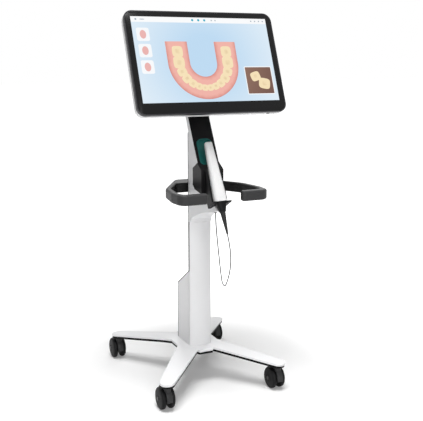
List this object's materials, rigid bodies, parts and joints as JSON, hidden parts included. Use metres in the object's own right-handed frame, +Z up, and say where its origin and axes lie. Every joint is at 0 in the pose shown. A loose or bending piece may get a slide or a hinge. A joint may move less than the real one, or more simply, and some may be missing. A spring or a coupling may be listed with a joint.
{
  "type": "intraoral scanner cart",
  "caption": "Dental scanner on a wheeled stand: tilting touch display, slim column, horseshoe push handle and a cradle that holds the cabled scanning wand.",
  "frame": {"origin": "on the floor under the middle of the object's box, the cable left out", "axes": "+Z up, the display and the wand face -Y, +X to the right of someone who looks at the display"},
  "size_m": [0.54, 0.6287, 1.3066],
  "materials": {
    "white_shell": "satin white enamel",
    "wand_white": "smooth white moulding",
    "black_plastic": "fine grained black moulding",
    "charcoal_plastic": "fine grained charcoal moulding",
    "caster_rubber": "dull black tread",
    "dark_rubber": "dull black rubber",
    "teal_plastic": "teal moulded recess",
    "screen_glass": "black bordered cover glass",
    "screen_panel": "lit display panel",
    "silver_trim": "fine silver edge",
    "dark_steel": "black coated steel",
    "bright_steel": "plain zinc plated steel",
    "circuit_board": "green solder mask",
    "circuit_case": "folded steel case",
    "lens_glass": "coated window",
    "button_grey": "soft grey pads",
    "cable_grey": "light grey jacket"
  },
  "bodies": {
    "stand": {"base_cover": "white_shell", "base_frame": "black_plastic", "base_hub_block": "dark_steel", "cable_gland": "dark_rubber", "caster_stem_front_left": "bright_steel", "caster_stem_front_right": "bright_steel", "caster_stem_rear_left": "bright_steel", "caster_stem_rear_right": "bright_steel", "column_back": "charcoal_plastic", "column_core": "dark_steel", "column_front": "white_shell", "cradle_body": "black_plastic", "cradle_liner": "teal_plastic", "handle": "charcoal_plastic", "mains_inlet": "black_plastic", "neck_panel": "black_plastic", "neck_shell": "white_shell", "power_box": "white_shell", "power_box_lid": "charcoal_plastic", "power_supply": "circuit_case", "tilt_head": "dark_steel", "wand_body": "wand_white", "wand_cable": "cable_grey", "wand_sleeve": "wand_white", "wand_strain_relief": "dark_rubber", "wand_tail_cap": "black_plastic", "wand_window": "lens_glass"},
    "display": {"display_glass": "screen_glass", "display_trim": "silver_trim", "display_screen": "screen_panel", "display_rear_cover": "white_shell", "display_main_board": "circuit_board", "display_mount_plate": "dark_steel", "tilt_pin": "bright_steel"},
    "power_button": {"power_button": "silver_trim"},
    "wand_button_left": {"wand_button_left": "button_grey"},
    "wand_button_right": {"wand_button_right": "button_grey"},
    "caster_front_left": {"caster_hood_front_left": "black_plastic", "caster_axle_front_left": "dark_steel"},
    "wheel_left_front_left": {"caster_wheel_left_front_left": "caster_rubber"},
    "wheel_right_front_left": {"caster_wheel_right_front_left": "caster_rubber"},
    "caster_front_right": {"caster_hood_front_right": "black_plastic", "caster_axle_front_right": "dark_steel"},
    "wheel_left_front_right": {"caster_wheel_left_front_right": "caster_rubber"},
    "wheel_right_front_right": {"caster_wheel_right_front_right": "caster_rubber"},
    "caster_rear_left": {"caster_hood_rear_left": "black_plastic", "caster_axle_rear_left": "dark_steel"},
    "wheel_left_rear_left": {"caster_wheel_left_rear_left": "caster_rubber"},
    "wheel_right_rear_left": {"caster_wheel_right_rear_left": "caster_rubber"},
    "caster_rear_right": {"caster_hood_rear_right": "black_plastic", "caster_axle_rear_right": "dark_steel"},
    "wheel_left_rear_right": {"caster_wheel_left_rear_right": "caster_rubber"},
    "wheel_right_rear_right": {"caster_wheel_right_rear_right": "caster_rubber"}
  },
  "joints": [
    {"name": "display_tilt", "type": "hinge", "parent": "stand", "child": "display", "pos_m": [0, -0.07529, 1.04686], "axis": [1, 0, 0], "range_deg": [-20, 20]},
    {"name": "power_button_press", "type": "slide", "parent": "display", "child": "power_button", "axis": [0, 0.3795, 0.9252], "range_m": [0, 0.0015], "stiffness_N_per_m": 400},
    {"name": "wand_button_left_press", "type": "slide", "parent": "stand", "child": "wand_button_left", "axis": [1, 0, 0], "range_m": [0, 0.0012], "stiffness_N_per_m": 400},
    {"name": "wand_button_right_press", "type": "slide", "parent": "stand", "child": "wand_button_right", "axis": [-1, 0, 0], "range_m": [0, 0.0012], "stiffness_N_per_m": 400},
    {"name": "swivel_front_left", "type": "hinge", "parent": "stand", "child": "caster_front_left", "pos_m": [-0.20875, -0.2769, 0.078], "axis": [0, 0, 1], "continuous": true},
    {"name": "roll_left_front_left", "type": "hinge", "parent": "caster_front_left", "child": "wheel_left_front_left", "pos_m": [-0.22575, -0.2559, 0.038], "axis": [1, 0, 0], "continuous": true},
    {"name": "roll_right_front_left", "type": "hinge", "parent": "caster_front_left", "child": "wheel_right_front_left", "pos_m": [-0.19175, -0.2559, 0.038], "axis": [1, 0, 0], "continuous": true},
    {"name": "swivel_front_right", "type": "hinge", "parent": "stand", "child": "caster_front_right", "pos_m": [0.20875, -0.2769, 0.078], "axis": [0, 0, 1], "continuous": true},
    {"name": "roll_left_front_right", "type": "hinge", "parent": "caster_front_right", "child": "wheel_left_front_right", "pos_m": [0.19175, -0.2559, 0.038], "axis": [1, 0, 0], "continuous": true},
    {"name": "roll_right_front_right", "type": "hinge", "parent": "caster_front_right", "child": "wheel_right_front_right", "pos_m": [0.22575, -0.2559, 0.038], "axis": [1, 0, 0], "continuous": true},
    {"name": "swivel_rear_left", "type": "hinge", "parent": "stand", "child": "caster_rear_left", "pos_m": [-0.20875, 0.2379, 0.078], "axis": [0, 0, 1], "continuous": true},
    {"name": "roll_left_rear_left", "type": "hinge", "parent": "caster_rear_left", "child": "wheel_left_rear_left", "pos_m": [-0.22575, 0.2589, 0.038], "axis": [1, 0, 0], "continuous": true},
    {"name": "roll_right_rear_left", "type": "hinge", "parent": "caster_rear_left", "child": "wheel_right_rear_left", "pos_m": [-0.19175, 0.2589, 0.038], "axis": [1, 0, 0], "continuous": true},
    {"name": "swivel_rear_right", "type": "hinge", "parent": "stand", "child": "caster_rear_right", "pos_m": [0.20875, 0.2379, 0.078], "axis": [0, 0, 1], "continuous": true},
    {"name": "roll_left_rear_right", "type": "hinge", "parent": "caster_rear_right", "child": "wheel_left_rear_right", "pos_m": [0.19175, 0.2589, 0.038], "axis": [1, 0, 0], "continuous": true},
    {"name": "roll_right_rear_right", "type": "hinge", "parent": "caster_rear_right", "child": "wheel_right_rear_right", "pos_m": [0.22575, 0.2589, 0.038], "axis": [1, 0, 0], "continuous": true}
  ]
}
